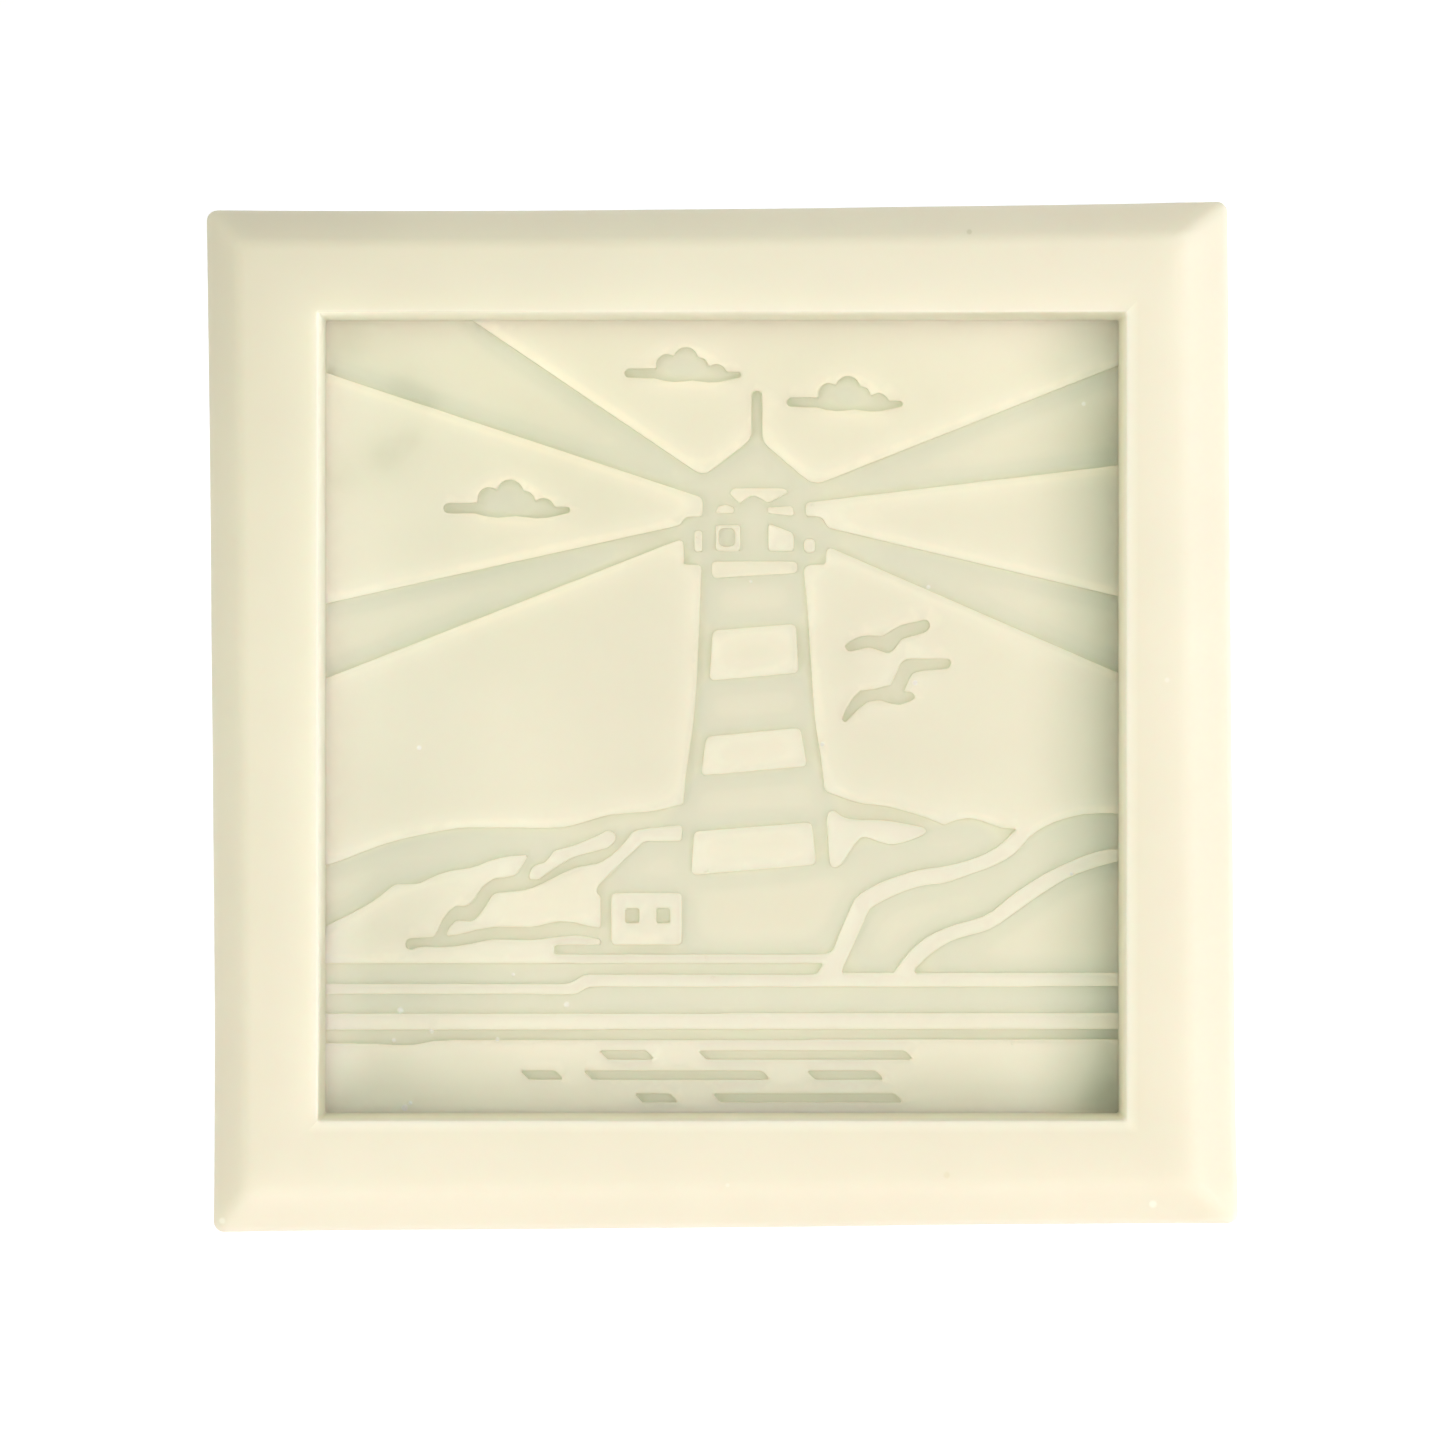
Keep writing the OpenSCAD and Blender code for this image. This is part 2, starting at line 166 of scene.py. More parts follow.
# Mesh points round each fleck and pinhole: share of its radius, and how many
SPOT_RINGS = ((0.35, 6), (0.7, 9), (1.1, 12), (1.7, 12))
SPOT_FALLOFF = 2.2          # how steep their sides are
# Soft unevenness of the cast floor, tinted with painted shade and light: x, y, radius, and how pale
# (or, below 0, dull and low)
FLOOR_DENTS_AND_SHADE = (
    (-28.6, 29.4, 2.0, -0.4), (-26.3, 28.3, 1.5, -0.3), (-30.4, 23.2, 2.6, -0.5),
    (-27.6, 25.0, 1.6, -0.25), (-34.4, 21.4, 1.8, -0.4), (-30.0, -30.8, 2.4, -0.2),
    (26.9, -32.7, 2.4, 0.6), (35.4, -34.8, 4.4, -1.2), (34.6, -29.0, 2.2, -0.4),
    (29.8, 31.4, 2.4, -0.2), (-15.0, 26.0, 14.0, -0.58), (-20.0, 10.0, 7.0, -0.3),
    (12.0, 29.0, 8.0, -0.2), (30.0, 22.0, 5.0, -0.3), (35.0, 24.0, 3.0, -0.5),
    (35.0, 8.0, 4.0, -0.3), (-34.0, 34.0, 4.5, -0.6), (0.0, -25.0, 17.0, 0.45),
    (25.0, -8.0, 12.0, 0.3), (8.0, 31.0, 8.0, -0.15),
)
DENT_HEIGHT = 0.08        # how much higher the palest of them stand
LOW_GLOW = 0.2              # share of the painted edge glow at the foot of an edge
# A painted pale line, a highlight, runs along the foot of the walls
LINE_WIDTH = 0.26
LINE_FULL = 1.4             # above 1, so that it keeps its full tone for part of its width
LINE_RIGHT = 0.5            # its share by the right wall
LINE_GLOW = 1.5             # its painted glow, as a share of the painted edge glow
LINE_TINT = 0.6             # and its painted highlight tint, as a share of the tint of the pale bands
# Beside the front and lower left walls the floor is painted paler, as painted light, and beside the
# right wall duller, as painted shade: width of each band, and where along the wall it fades to
# nothing, over what length
FRONT_BAND = (2, 33, 4)
LEFT_BAND = (4, -8, 12)
RIGHT_BAND = (3, 30, 4)
# Small marks on the rim and bevel: x, y, radius, tint
MARKS = (
    (38.0, -43.0, 0.42, (1.12, 1.13, 1.16)), (-44.1, -44.5, 0.35, (1.12, 1.13, 1.16)),
    (21.8, 42.7, 0.30, (0.84, 0.85, 0.80)), (19.8, -40.4, 0.36, (0.95, 0.94, 0.90)),
    (0.5, -41.3, 0.22, (1.05, 1.06, 1.10)), (39.2, 3.2, 0.28, (1.05, 1.06, 1.10)),
)


def waviness(x, y, seed, scale, size):
    """A slow, repeatable rise and fall of the surface."""
    return size * noise.noise(Vector((x / scale, y / scale, seed)))


def piece_from(name, vertices, faces):
    """A smooth-shaded mesh object from vertices in millimetres."""
    mesh = bpy.data.meshes.new(name)
    mesh.from_pydata([(x * MM, y * MM, z * MM) for x, y, z in vertices], [], faces)
    mesh.validate()
    mesh.polygons.foreach_set("use_smooth", [True] * len(mesh.polygons))
    mesh.update()
    piece = bpy.data.objects.new(name, mesh)
    bpy.context.scene.collection.objects.link(piece)
    return piece


def smooth_step(share):
    """The share eased in and out."""
    return share * share * (3 - 2 * share)


def write_tones(piece, tones):
    """Stores named values on the piece's vertices, for its material to read."""
    for name, values in tones.items():
        piece.data.attributes.new(name, "FLOAT", "POINT").data.foreach_set("value", values)


# ---- Shell mesh ------------------------------------------------------------------------------
def rounded(corners, steps=6):
    """A profile through (out, z, reach) corners, each blended over its reach to both sides."""
    points = []
    for index, (out, z, reach) in enumerate(corners):
        here = Vector((out, z))
        if not reach or index in (0, len(corners) - 1):
            points.append(here)
            continue
        before = here + (Vector(corners[index - 1][:2]) - here).normalized() * reach
        after = here + (Vector(corners[index + 1][:2]) - here).normalized() * reach
        for step in range(steps + 1):
            t = step / steps
            points.append(before * (1 - t) ** 2 + here * 2 * t * (1 - t) + after * t * t)
    return points


def shell_profile(side):
    """The wall's cross-section on one side: distance out from the middle, and height."""
    opening = PICTURE + DRAFT
    bevel_start = BLOCK - BEVEL_WIDTH[side]
    corners = [                 # from the cavity floor up, over the rim, down and under
        (PICTURE - WALL_LAP, PLATE_TOP, 0),
        (opening - 0.01, RIM_Z - DRAFT_END, 0),
        (opening, RIM_Z - LIP_DROP, LIP_RADIUS),
        (opening + LIP_WIDTH, RIM_Z, 0.9),
        (opening + LIP_WIDTH + RIM_BREAK, RIM_Z - CROWN * 0.2, 0.8),
        (bevel_start, RIM_Z - CROWN, BEVEL_SOFT / 2),
        (BLOCK, RIM_Z - BEVEL_DROP[side], SHOULDER_SOFT / 2),
        (BLOCK + WALL_BULGE, RIM_Z * 0.62, 0),
        (BLOCK + WALL_BULGE / 4, RIM_Z * 0.3, 0),
        (BLOCK, FOOT_CHAMFER, 0.25),
        (BLOCK - FOOT_CHAMFER, 0, 0.25),
        (BLOCK - 6, 0, 0),
        (BLOCK * 0.5, 0, 0),
    ]
    return rounded(corners)


def outside_share(out):
    """0 at the cavity and 1 at the bevel: how much the outside's own drift moves a point."""
    start = PICTURE + DRAFT + LIP_WIDTH
    return smooth_step(min(max((out - start) / (BLOCK - DRIFT_ZONE - start), 0), 1))


def drift(side, along):
    """How far an outside face stands off its true plane at a place along it."""
    share = along / BLOCK
    ends = FLARE[side]
    flare = ends[0] * max(-share, 0) ** 5 + ends[1] * max(share, 0) ** 5
    return BOW[side] * math.cos(share * math.pi / 2) + flare


def ring(profiles, index):
    """One closed ring of the shell through the same profile point of all four sides."""
    out = [profiles[side][index].x for side in range(4)]
    height = [profiles[side][index].y for side in range(4)]
    corner_height = [(height[side] + height[(side + 1) % 4]) / 2 for side in range(4)]
    grown = outside_share(sum(out) / 4)
    radius = CAVITY_RADIUS + (CORNER_RADIUS - CAVITY_RADIUS) * grown
    points = []
    for side in range(4):
        across, following = out[side], (side + 1) % 4
        start, end = out[(side - 1) % 4] - radius, out[following] - radius
        direction = Vector((math.cos(side * math.pi / 2), math.sin(side * math.pi / 2)))
        along_way = Vector((-direction.y, direction.x))
        for step in range(SIDE_STEPS + 1):
            along = -start + (start + end) * step / SIDE_STEPS
            meeting = corner_height[side] if along > 0 else corner_height[side - 1]
            share = smooth_step(max(1 - (BLOCK - abs(along)) / CORNER_BLEND, 0))
            level = height[side] * (1 - share) + meeting * share
            points.append((direction * across + along_way * along, side, level))
        centre = direction * (across - radius) + along_way * end
        for step in range(1, CORNER_STEPS):
            share = step / CORNER_STEPS
            angle = share * math.pi / 2
            spot = centre + (direction * math.cos(angle) + along_way * math.sin(angle)) * radius
            points.append((spot, side if share < 0.5 else following, corner_height[side]))
    result = []
    for spot, side, level in points:
        share = outside_share(max(abs(spot.x), abs(spot.y)))
        push = Vector((0, 0))
        for near in range(4):
            normal = Vector((math.cos(near * math.pi / 2), math.sin(near * math.pi / 2)))
            if spot.dot(normal) > BLOCK * 0.8:
                along = spot.dot(Vector((abs(normal.y), abs(normal.x))))
                push += normal * drift(near, along) * share
        x = spot.x - TURN * spot.y * share + push.x
        y = spot.y + TURN * spot.x * share + push.y
        if level > FOOT_CHAMFER * 2:
            x += waviness(spot.y + level, side * 9.0, 3.1, *SIDE_WAVE) * share
            y += waviness(spot.x + level, side * 9.0, 7.7, *SIDE_WAVE) * share
            level += waviness(x, y, 5.3, *RIM_WAVE) * min((level - PLATE_TOP) / RIM_Z, 1)
        result.append((x, y, level))
    return result


def shell_tones(vertices):
    """What the shell's painted light, shade and glow depend on: cavity wall, bevel, and place across
    the block.
    """
    x, y, z = np.array(vertices).T
    out = np.maximum(abs(x), abs(y))
    at_cavity = out < PICTURE + DRAFT + WALL_ZONE
    below_lip = z < RIM_Z - LIP_DROP - LIP_ZONE
    near_lamps = x - y > 0                      # the right and front half
    wall = np.where(below_lip, 1.0, np.where(near_lamps, LIP_SHARE, 0))
    wall = np.where(near_lamps & (z <= PLATE_TOP), 0, wall) * at_cavity
    wall = np.where((y > abs(x)) & (wall > 0), BACK_SHARE, wall)
    bevel = np.clip((RIM_Z - CROWN - z) / BEVEL_DEPTH, 0, 1) * (out > BLOCK - BEVEL_ZONE)
    across = np.where(at_cavity & below_lip, EVEN, (x - y) / BLOCK / 2)
    return {"cavity_wall": wall, "bevel": bevel, "across": across}


def make_shell():
    """The tub: slab, walls, rolled inner lip, flat rim, bevel and foot."""
    profiles = [shell_profile(side) for side in range(4)]
    count = len(profiles[0])
    rings = [ring(profiles, index) for index in range(count)]
    around = len(rings[0])
    vertices = [point for one in rings for point in one]
    faces = []
    for index in range(count - 1):
        for step in range(around):
            after = (step + 1) % around
            here, there = index * around, (index + 1) * around
            faces.append((here + step, here + after, there + after, there + step))
    faces.append(tuple(range(around)))
    last = (count - 1) * around
    faces.append(tuple(reversed(range(last, last + around))))
    shell = piece_from("mould_shell", vertices, faces)
    write_tones(shell, shell_tones(vertices))
    return shell


# ---- Picture mesh ----------------------------------------------------------------------------
def footprint(node, cells):
    """Where the raised top of a CAD node covers the grid, found by even-odd crossings."""
    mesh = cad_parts[node].data
    mesh.calc_loop_triangles()
    spots = np.array([vertex.co[:] for vertex in mesh.vertices], float) / MM
    corners = spots[np.array([tri.vertices[:] for tri in mesh.loop_triangles])]
    top = corners[..., 2].max()
    flat = corners[np.all(corners[..., 2] > top - 0.01, axis=1)][..., :2]
    crossings = np.zeros((cells, cells + 1), np.int32)
    for first in range(3):
        for pair in flat[:, (first, (first + 1) % 3)]:
            (x0, y0), (x1, y1) = sorted(pair.tolist(), key=lambda spot: (spot[1], spot[0]))
            row_range = [math.ceil((y + PICTURE) / CELL - 0.5) for y in (y0, y1)]
            rows = np.arange(max(row_range[0], 0), min(row_range[1], cells))
            if not len(rows):
                continue
            level = (rows + 0.5) * CELL - PICTURE
            x = x0 + (level - y0) * (x1 - x0) / (y1 - y0)
            columns = np.clip(np.ceil((x + PICTURE) / CELL - 0.5).astype(int), 0, cells)
            np.add.at(crossings, (rows, columns), 1)
    return np.cumsum(crossings, axis=1)[:, :-1] % 2, top - FLOOR_Z


def blurred(field, spread):
    """A gaussian blur; the field goes on unchanged past its edges."""
    reach = math.ceil(3 * spread)
    weights = np.exp(-0.5 * (np.arange(-reach, reach + 1) / spread) ** 2)
    weights /= weights.sum()
    for axis in (0, 1):
        padding = [(reach, reach) if axis == a else (0, 0) for a in (0, 1)]
        padded = np.pad(field, padding, mode="edge")
        size = field.shape[axis]
        field = sum(
            weight * np.take(padded, np.arange(shift, shift + size), axis=axis)
            for shift, weight in enumerate(weights)
        )
    return field


def with_borders(field, cell):
    """The field with its edge values repeated on the picture's border, and its grid lines."""
    middles = (np.arange(len(field)) + 0.5) * cell - PICTURE
    return np.pad(field, 1, mode="edge"), np.concatenate(([-PICTURE], middles, [PICTURE]))


def picture_fields():
    """How covered each place is by the fields of each height, and all heights spread out."""
    cells = round(2 * PICTURE / CELL)
    covers = {}
    for node in PICTURE_NODES:
        covered, height = footprint(node, cells)
        height = round(height, 2)
        covers[height] = np.maximum(covers.get(height, 0), covered)
    heights = np.max([height * cover for height, cover in covers.items()], axis=0)
    coarse = cells // COARSER
    blocks = heights[: coarse * COARSER, : coarse * COARSER]
    blocks = blocks.reshape(coarse, COARSER, coarse, COARSER).mean(axis=(1, 3))
    broad = with_borders(blurred(blocks, NEARBY / CELL / COARSER), CELL * COARSER)
    spread = SOFTNESS / CELL
    soft = {h: with_borders(blurred(cover, spread), CELL) for h, cover in covers.items()}
    return soft, broad


def lifted(covers, x, y):
    """Height above the lowest floor at any place, with upright, slightly rounded edges."""
    heights = []
    for height, (cover, lines) in covers.items():
        cover_here = sampled(cover, lines, x, y)
        heights.append(height * np.interp(cover_here, EDGE_COVERS, EDGE_SHARES))
    return np.max(heights, axis=0)


def sampled(field, lines, x, y):
    """The field's height at any place, going on unchanged past its edges."""
    def place(value):
        value = np.clip(value, -PICTURE, PICTURE)
        index = np.clip(np.searchsorted(lines, value) - 1, 0, len(lines) - 2)
        return index, (value - lines[index]) / (lines[index + 1] - lines[index])

    (column, u), (row, v) = place(x), place(y)
    near = field[row, column] * (1 - u) + field[row, column + 1] * u
    far = field[row + 1, column] * (1 - u) + field[row + 1, column + 1] * u
    return near * (1 - v) + far * v


def edge_share(cover):
    """1 beside an edge and 0 where the cover is full or empty."""
    return np.clip((1 - abs(2 * cover - 1)) / (2 * EDGE_COVERS[0]), 0, 1)


def dents_and_shade(x, y):
    """How pale and high, or dull and low, the floor is at any place: its soft dents, with painted
    shade and light.
    """
    tones = [tone * np.exp(-np.hypot(x - a, y - b) ** 2 / reach**2) for a, b, reach, tone in FLOOR_DENTS_AND_SHADE]
    return np.sum(tones, axis=0)


def band(width, end, fade, from_wall, along):
    """1 beside a wall and 0 past the band's width, fading out near its end."""
    return np.clip(1 - from_wall / width, 0, 1) * np.clip((end - along) / fade, 0, 1)


def contour_chains(field, lines, level):
    """Lines of equal height as lists of (x, y), found square by square and joined up."""
    inside = field >= level
    rows, columns = field.shape
    across = inside[:, 1:] != inside[:, :-1]      # crossings on grid edges that run along x
    upward = inside[1:, :] != inside[:-1, :]      # and along y
    spots, links = {}, {}
    for row, column in np.argwhere(across).tolist():
        share = (level - field[row, column]) / (field[row, column + 1] - field[row, column])
        x = lines[column] + share * (lines[column + 1] - lines[column])
        spots[("x", row, column)] = (x, lines[row])
    for row, column in np.argwhere(upward).tolist():
        share = (level - field[row, column]) / (field[row + 1, column] - field[row, column])
        y = lines[row] + share * (lines[row + 1] - lines[row])
        spots[("y", row, column)] = (lines[column], y)

    def join(one, other):
        links.setdefault(one, []).append(other)
        links.setdefault(other, []).append(one)

    touched = across[:-1] | across[1:] | upward[:, :-1] | upward[:, 1:]
    for row, column in np.argwhere(touched).tolist():
        edges = [("x", row, column), ("y", row, column + 1), ("x", row + 1, column)]
        edges = [edge for edge in edges + [("y", row, column)] if edge in spots]
        if len(edges) == 2:
            join(*edges)
        else:
            middle = field[row : row + 2, column : column + 2].mean() >= level
            turn = 1 if middle == inside[row, column] else 3
            join(edges[0], edges[turn])
            join(edges[2], edges[4 - turn])
    chains, used = [], set()
    ends = [edge for edge, linked in links.items() if len(linked) == 1]
    for start in ends + list(links):
        if start in used:
            continue
        chain, edge = [], start
        while edge is not None:
            used.add(edge)
            chain.append(spots[edge])
            edge = next((linked for linked in links[edge] if linked not in used), None)
        closed = len(links[start]) == 2 and len(chain) > 3
        chains.append(chain + chain[:1] if closed else chain)
    return chains


def thinned(chain):
    """The chain with few points on straight runs and more in its bends."""
    points = np.array(chain)
    if len(points) < 6:
        return chain
    steps = np.diff(points, axis=0)
    lengths = np.hypot(*steps.T)
    headings = np.unwrap(np.arctan2(steps[:, 1], steps[:, 0]))
    smooth = np.convolve(np.pad(headings, 2, mode="edge"), np.ones(5) / 5, mode="valid")
    kept, run, heading = [0], 0.0, smooth[0]
    for index in range(1, len(points) - 1):
        run += lengths[index - 1]
        turned = abs(smooth[index] - heading)
        if run > LONGEST_STEP or turned > SHARPEST_TURN and run > SHORTEST_STEP:
            kept.append(index)
            run, heading = 0.0, smooth[index]
    if run < 0.05 and len(kept) > 3:
        kept.pop()
    kept.append(len(points) - 1)
    return points[kept].tolist()


def beside(chain, closed, reach):
    """The chain moved sideways."""
    points = np.array(chain)
    before, after = np.roll(points, 1, axis=0), np.roll(points, -1, axis=0)
    if not closed:
        before[0], after[-1] = points[0], points[-1]
    way = after - before
    way /= np.hypot(*way.T)[:, None] + 1e-9
    return (points + reach * np.stack((-way[:, 1], way[:, 0]), axis=1)).tolist()


def square_loop(reach, marks):
    """Points round a square, through the given places on its sides."""
    marks = sorted(set(round(mark, 4) for mark in marks if abs(mark) < reach - 0.05))
    loop = [(reach, y) for y in [-reach] + marks] + [(x, reach) for x in [reach] + marks[::-1]]
    loop += [(-reach, y) for y in [reach] + marks[::-1]] + [(x, -reach) for x in [-reach] + marks]
    return loop


def mesh_points(covers, broad, broad_lines):
    """The picture's mesh points, and the pairs of them that have to be joined by an edge."""
    spots, edges = [], []

    def is_flat(spot, reach):
        """Whether the field is level all round a place that is clear of the walls."""
        if max(map(abs, spot)) > PICTURE - BORDER_GAP:
            return False
        column, row = (round((value + PICTURE) / CELL) for value in spot)
        span = round(reach / CELL)
        rows, columns = slice(row - span, row + span), slice(column - span, column + span)
        near = [cover[rows, columns] for cover, _ in covers.values()]
        return all(np.ptp(cover) < LEVEL_ENOUGH for cover in near)

    def add_chain(chain, closed=False):
        """Adds the chain's points, and the edges between them."""
        first = len(spots)
        spots.extend(chain)
        edges.extend((index, index + 1) for index in range(first, len(spots) - 1))
        if closed:
            edges.append((len(spots) - 1, first))

    for cover, lines in covers.values():
        for chain in contour_chains(cover, lines, 0.5):
            short = thinned(chain)
            closed = len(short) > 3 and short[0] == short[-1]
            short = short[:-1] if closed else short
            for reach in EDGE_LINES:
                add_chain(beside(short, closed, reach), closed)
            for reach in (-EDGE_GUARD, EDGE_GUARD):
                guard = beside(short, closed, reach)
                spots.extend(spot for spot in guard if is_flat(spot, GUARD_GAP))
    for share in BROAD_CONTOURS:
        for chain in contour_chains(broad, broad_lines, share * max(covers)):
            spots.extend(spot for spot in thinned(chain) if is_flat(spot, BROAD_GAP))

    count = round(2 * PICTURE / GRID_STEP)
    marks = [-PICTURE + 2 * PICTURE * step / count for step in range(1, count)]
    for depth in FOOT_LINES:
        add_chain(square_loop(PICTURE - depth, marks), True)
    add_chain(square_loop(PICTURE + UNDER_WALL, marks), True)
    for row, y in enumerate(marks):
        for x in marks:
            spot = (x + (GRID_STEP / 2 if row % 2 else 0), y)
            if is_flat(spot, GRID_GAP):
                spots.append(spot)
    for x, y, radius, _ in FLECKS + PINHOLES:
        spots.append((x, y))
        for share, amount in SPOT_RINGS:
            for step in range(amount):
                angle = 2 * math.pi * (step + share) / amount
                spot = (x + math.cos(angle) * radius * share, y + math.sin(angle) * radius * share)
                if max(abs(spot[0]), abs(spot[1])) < PICTURE - SPOT_GAP:
                    spots.append(spot)
    return spots, edges


def floor_height(covers, x, y):
    """Height of the cast floor at any place, with its waves, flecks and pinholes."""
    z = FLOOR_Z + lifted(covers, x, y)
    z += [
        waviness(a, b, 1.7, *FLOOR_WAVE) + waviness(a, b, 4.2, *FLOOR_RIPPLE)
        for a, b in zip(x, y)
    ]
    z += dents_and_shade(x, y) * DENT_HEIGHT
    gap = np.clip(PICTURE - np.maximum(abs(x), abs(y)), 0, FOOT_FILLET)
    z += FOOT_RISE * (1 - np.sqrt(np.maximum(1 - (1 - gap / FOOT_FILLET) ** 2, 0)))
    for sign, marks in ((1, FLECKS), (-1, PINHOLES)):
        for spot_x, spot_y, radius, height in marks:
            away = np.hypot(x - spot_x, y - spot_y) / radius
            z += sign * height * np.exp(-SPOT_FALLOFF * away**2)
    return z


def closed_below(name, x, y, z, faces):
    """The surface as a mesh, with upright sides and a flat bottom."""
    shape = bmesh.new()
    vertices = [shape.verts.new((a * MM, b * MM, c * MM)) for a, b, c in zip(x, y, z)]
    for face in faces:
        shape.faces.new([vertices[index] for index in face])
    rim_edges = [edge for edge in shape.edges if edge.is_boundary]
    extruded = bmesh.ops.extrude_edge_only(shape, edges=rim_edges)["geom"]
    bottom = [item for item in extruded if isinstance(item, bmesh.types.BMVert)]
    for vertex in bottom:
        vertex.co.z = SLAB_BOTTOM * MM
    bottom_edges = [item for item in extruded if isinstance(item, bmesh.types.BMEdge)]
    bottom_edges = [edge for edge in bottom_edges if edge.is_boundary]
    bmesh.ops.edgeloop_fill(shape, edges=bottom_edges)
    bmesh.ops.recalc_face_normals(shape, faces=shape.faces)
    mesh = bpy.data.meshes.new(name)
    shape.to_mesh(mesh)
    shape.free()
    for polygon in mesh.polygons:
        polygon.use_smooth = polygon.normal.z > 0.1
    return mesh


def picture_tones(covers, broad, broad_lines, x, y):
    """What the picture's tints, painted shade and highlights among them, and its painted glow depend
    on at each place.
    """
    full = max(covers)
    raised = lifted(covers, x, y) / full
    # Drives painted shade in narrow hollows and painted highlights on narrow ridges
    standing = raised - sampled(broad, broad_lines, x, y) / full
    near_edge = np.max([edge_share(sampled(*cover, x, y)) for cover in covers.values()], axis=0)
    # Painted glow at the edges of the raised fields
    edge_glow = near_edge * (LOW_GLOW + (1 - LOW_GLOW) * raised)
    from_wall = PICTURE - np.maximum(abs(x), abs(y))
    # Painted highlight: a pale line along the foot of the walls
    line = np.clip(LINE_FULL - from_wall / LINE_WIDTH, 0, 1)
    line *= np.where(x < PICTURE - FOOT_FILLET, 1, LINE_RIGHT)
    # Painted light beside the front and lower left walls, painted shade beside the right wall
    pale = np.maximum(band(*FRONT_BAND, PICTURE + y, x), band(*LEFT_BAND, PICTURE + x, y))
    dull = band(*RIGHT_BAND, PICTURE - x, y)
    return {
        "raised": raised,
        "standing": standing,
        "dents_and_shade": dents_and_shade(x, y),
        "thin_edge": np.maximum(edge_glow, line * LINE_GLOW),
        "border": np.maximum(pale, line * LINE_TINT) - dull,
    }


def make_picture():
    """The cavity floor: its slab, and the raised fields with soft, rounded edges."""
    covers, broad = picture_fields()
    spots, edges = mesh_points(covers, *broad)
    flat, _, faces, _, _, _ = delaunay_2d_cdt(
        [Vector(spot) for spot in spots], edges, [], 0, 1e-4, False
    )
    x, y = np.array([spot[:] for spot in flat]).T
    mesh = closed_below("relief_floor", x, y, floor_height(covers, x, y), faces)
    picture = bpy.data.objects.new("relief_floor", mesh)
    bpy.context.scene.collection.objects.link(picture)
    x, y = np.array([vertex.co[:2] for vertex in mesh.vertices]).T / MM
    write_tones(picture, picture_tones(covers, *broad, x, y))
    return picture


# ---- Material --------------------------------------------------------------------------------
# Each tint multiplies the base colour by one that follows a vertex value: the value's name, its
# lowest value, and the tint at some of its values. The picture's follow its height, the painted
# light and shade of the bands by the walls, how far a place stands above its surroundings (painted
# shade in narrow hollows, painted highlights on narrow ridges), and the floor's dents with their
# painted shade and light.
PICTURE_TINTS = (
    ("raised", 0, (
        (0.0, (0.99, 0.99, 0.975)),
        (0.33, (0.915, 0.93, 0.925)),
        (1.0, (1.0, 1.0, 1.0)),
    )),
    # painted light by the front and lower left walls and along their foot, painted shade by the
    # right wall
    ("border", -1, (
        (-1.0, (0.915, 0.93, 0.92)),
        (0.0, (1.0, 1.0, 1.0)),
        (1.0, (1.12, 1.14, 1.14)),
    )),
    # painted shade in narrow hollows and painted highlights on narrow ridges
    ("standing", -1, (
        (-0.6, (0.985, 1.0, 0.995)),
        (-0.48, (1.005, 1.025, 1.025)),
        (-0.40, (0.975, 1.0, 1.01)),
        (-0.34, (0.952, 0.983, 0.997)),
        (-0.17, (0.957, 0.98, 0.985)),
        (-0.06, (1.0, 1.01, 1.015)),
        (0.0, (1.0, 1.0, 1.0)),
        (0.1, (1.02, 1.02, 1.018)),
        (0.22, (1.06, 1.05, 1.045)),
        (0.34, (1.14, 1.11, 1.08)),
        (0.42, (1.155, 1.125, 1.09)),
    )),
    # painted shade and light over the floor's soft dents
    ("dents_and_shade", -1, (
        (-1.0, (0.74, 0.76, 0.71)),
        (-0.5, (0.93, 0.94, 0.92)),
        (0.0, (1.0, 1.0, 1.0)),
        (1.0, (1.06, 1.06, 1.07)),
    )),
)
# The shell's: painted light on the cavity walls, standing in for light that comes through them,
# painted shade on the bevels, and painted shade towards the back left turning to painted light
# towards the front right
SHELL_TINTS = (
    ("cavity_wall", 0, ((0.0, (1.0, 1.0, 1.0)), (1.0, (1.15, 1.17, 1.17)))),
    ("bevel", 0, ((0.0, (1.0, 1.0, 1.0)), (1.0, (0.955, 0.955, 0.955)))),
    ("across", -1, (
        (-1.0, (0.89, 0.89, 0.87)),
        (-0.78, (0.975, 0.98, 0.958)),
        (-0.43, (1.022, 1.028, 1.015)),
        (-0.1, (1.058, 1.046, 1.042)),
        (0.43, (1.05, 1.035, 1.028)),
        (1.0, (1.045, 1.025, 1.015)),
    )),
)

# Painted glow, standing in for light that comes through the walls into the cavity, and out at the
# edges of the picture: the vertex value that it follows, its full strength, and its colour
WALL_GLOW = ("cavity_wall", 0.075, (1.0, 0.97, 0.78))
EDGE_GLOW = ("thin_edge", 0.065, (1.0, 0.84, 0.6))
CREAM = (0.86, 0.84, 0.735)
# The picture's cream is a shaded copy of the body's: painted shade, a little darker and greener
SHADED_CREAM = (0.848, 0.834, 0.742)
CLOUDING = (0.985, 1.012)   # darkest and palest share of the colour in its faint clouds
SCATTER = (0.85, 1.0, 0.95)         # how far red, green and blue light goes inside, as shares
BODY_REACH = 0.0015         # of this many metres in the shell
RELIEF_REACH = 0.004        # and of this many in the picture
PALE_FLECK = (1.17, 1.18, 1.28)     # tint of a fleck
FLECK_HALO = 1.2            # a fleck's tint reaches past its own radius


def set_ramp(ramp_node, stops):
    """Gives a colour ramp its stops, each a position and a colour."""
    elements = ramp_node.color_ramp.elements
    for index, (position, color) in enumerate(stops):
        element = elements[index] if index < 2 else elements.new(position)
        element.position = position
        element.color = color + (1,)


